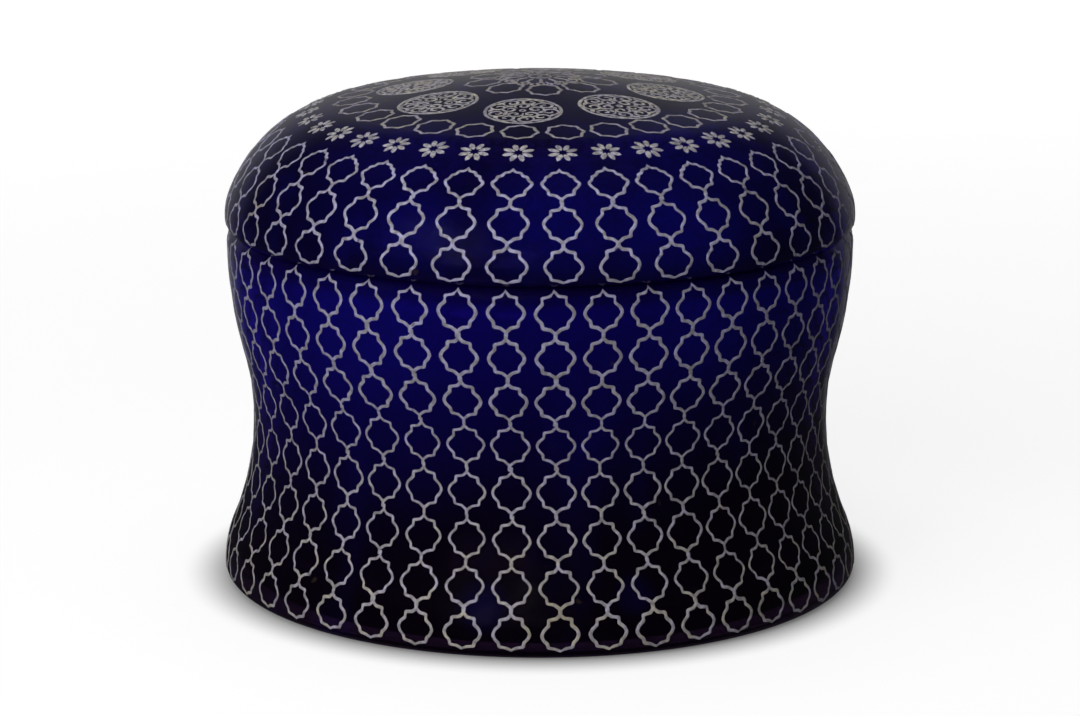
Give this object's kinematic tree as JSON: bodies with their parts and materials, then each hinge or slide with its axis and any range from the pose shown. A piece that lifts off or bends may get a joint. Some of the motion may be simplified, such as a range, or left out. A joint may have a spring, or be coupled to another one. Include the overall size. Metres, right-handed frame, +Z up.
{
  "type": "covered glass box",
  "caption": "Round covered box of deep blue blown glass with a drawn-in waist and flared foot, and a low domed lid that lifts off, for keeping betel or small sweets.",
  "frame": {"origin": "middle of the base, on the surface that the standing ring rests on", "axes": "+Z up along the axis of both turned pieces, +X to the right as the picture shows the box, -Y towards the viewer"},
  "size_m": [0.14, 0.14, 0.1103],
  "materials": {
    "blue_glass": "fire-polished, deep cobalt blue",
    "silver_paint": "thin brushed-on silver, lightly tarnished"
  },
  "bodies": {
    "body": {"glass_body": "blue_glass"},
    "lid": {"glass_lid": "blue_glass"}
  },
  "joints": [
    {"name": "lid_lift", "type": "slide", "parent": "body", "child": "lid", "axis": [0, 0, 1], "range_m": [0, 0.06]}
  ]
}
